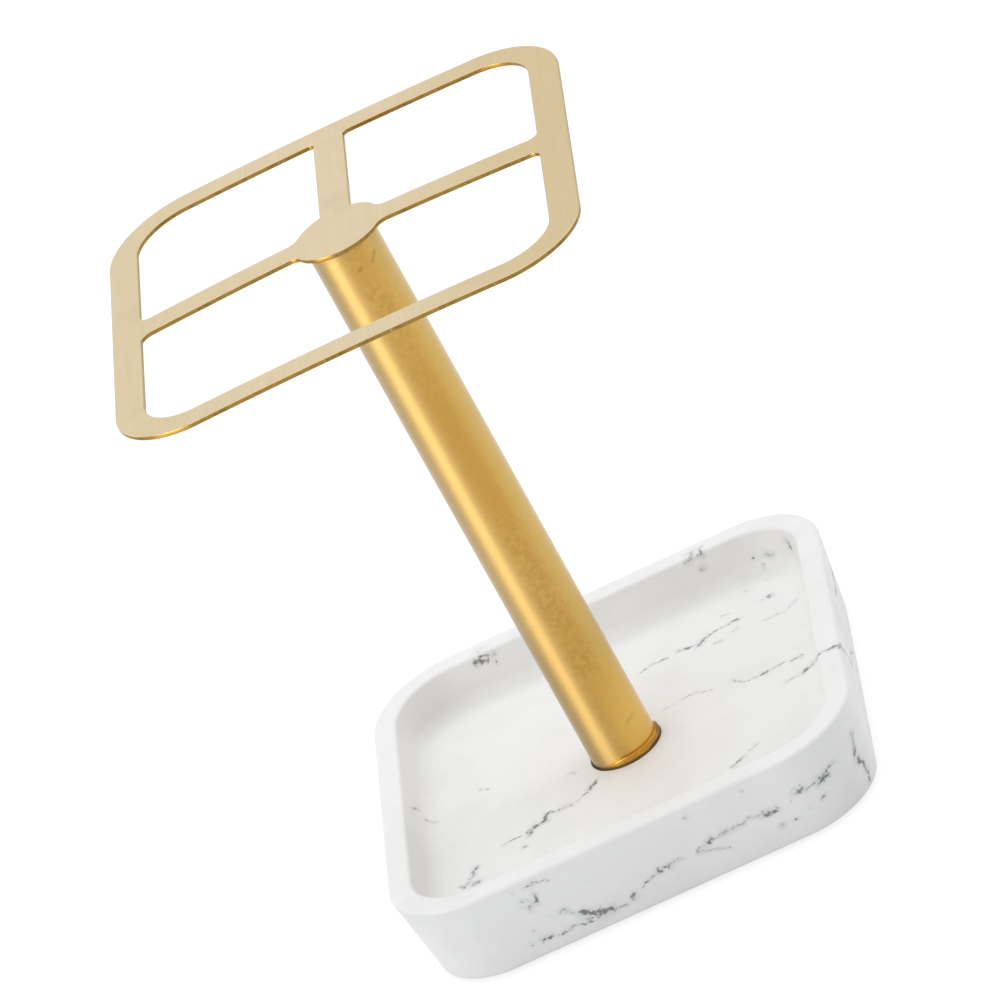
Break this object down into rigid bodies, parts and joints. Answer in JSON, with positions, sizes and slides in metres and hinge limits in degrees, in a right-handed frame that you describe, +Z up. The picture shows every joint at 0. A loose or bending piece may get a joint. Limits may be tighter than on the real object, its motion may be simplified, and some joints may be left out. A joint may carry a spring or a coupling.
{
  "type": "toothbrush holder",
  "caption": "Countertop toothbrush holder: a square marble-look tray with a brass-finished post that carries a thin plate with open fields for brushes to lean in.",
  "frame": {"origin": "on the post's axis, on the surface that the holder stands on", "axes": "+X along the plate's two arms, -Y to the front with the wide opening, +Z up along the post"},
  "size_m": [0.111, 0.1132, 0.1548],
  "materials": {
    "marble_resin": "cast marble-look stone resin, white with thin grey veins, matte",
    "satin_brass": "satin, slightly mottled",
    "brushed_brass": "fine straight brushing from front to back, pale gold",
    "zinc_steel": "zinc plated",
    "pad_rubber": "translucent white, matte"
  },
  "bodies": {
    "root": {"tray_base": "marble_resin", "post_tube": "satin_brass", "foot_ring": "satin_brass", "holder_plate": "brushed_brass", "tube_plug": "zinc_steel", "threaded_insert": "zinc_steel", "flat_washer": "zinc_steel", "fixing_screw": "zinc_steel", "pad_front_left": "pad_rubber", "pad_front_right": "pad_rubber", "pad_back_left": "pad_rubber", "pad_back_right": "pad_rubber"}
  },
  "joints": []
}
